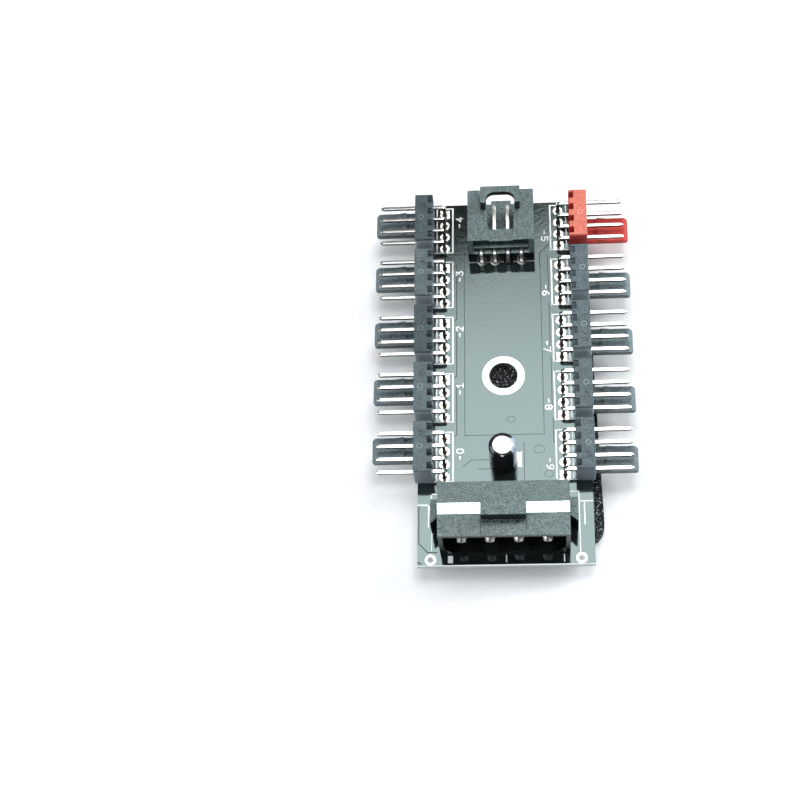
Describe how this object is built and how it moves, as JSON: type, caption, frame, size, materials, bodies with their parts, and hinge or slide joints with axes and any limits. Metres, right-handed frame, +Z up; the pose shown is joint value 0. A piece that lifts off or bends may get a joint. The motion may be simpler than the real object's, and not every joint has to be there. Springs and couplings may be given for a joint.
{
  "type": "pc fan controller hub",
  "caption": "Flat board that shares one fan-speed signal and one power feed between two rows of four-pin fan ports.",
  "frame": {"origin": "on the mounting hole's axis, at the board's top face", "axes": "+Z up out of the board's component side, +Y along the board from the power connector to the control header, +X to the right of that"},
  "size_m": [0.0486, 0.0743, 0.0168],
  "materials": {
    "board": "dark solder mask, high gloss",
    "tin": "tinned, bright",
    "foam": "matt, fibrous",
    "black_moulding": "satin, finely grained",
    "red_moulding": "satin, finely grained",
    "can": "bright",
    "sleeve": "shrink sleeve, glossy",
    "bung": "matt"
  },
  "bodies": {
    "root": {"board": "board", "plated_rings": "tin", "foam_pad": "foam", "fan_housing_0": "black_moulding", "fan_housing_1": "black_moulding", "fan_housing_2": "black_moulding", "fan_housing_3": "black_moulding", "fan_housing_4": "black_moulding", "fan_housing_5": "red_moulding", "fan_housing_6": "black_moulding", "fan_housing_7": "black_moulding", "fan_housing_8": "black_moulding", "fan_housing_9": "black_moulding", "fan_pins_0": "tin", "fan_pins_1": "tin", "fan_pins_2": "tin", "fan_pins_3": "tin", "fan_pins_4": "tin", "fan_pins_5": "tin", "fan_pins_6": "tin", "fan_pins_7": "tin", "fan_pins_8": "tin", "fan_pins_9": "tin", "control_shroud": "black_moulding", "control_pins": "tin", "power_shell": "black_moulding", "power_pins": "tin", "capacitor_can": "can", "capacitor_sleeve": "sleeve", "capacitor_bung": "bung", "capacitor_leads": "tin", "solder_left": "tin", "solder_right": "tin", "solder_control": "tin", "solder_power": "tin", "solder_capacitor": "tin"}
  },
  "joints": []
}
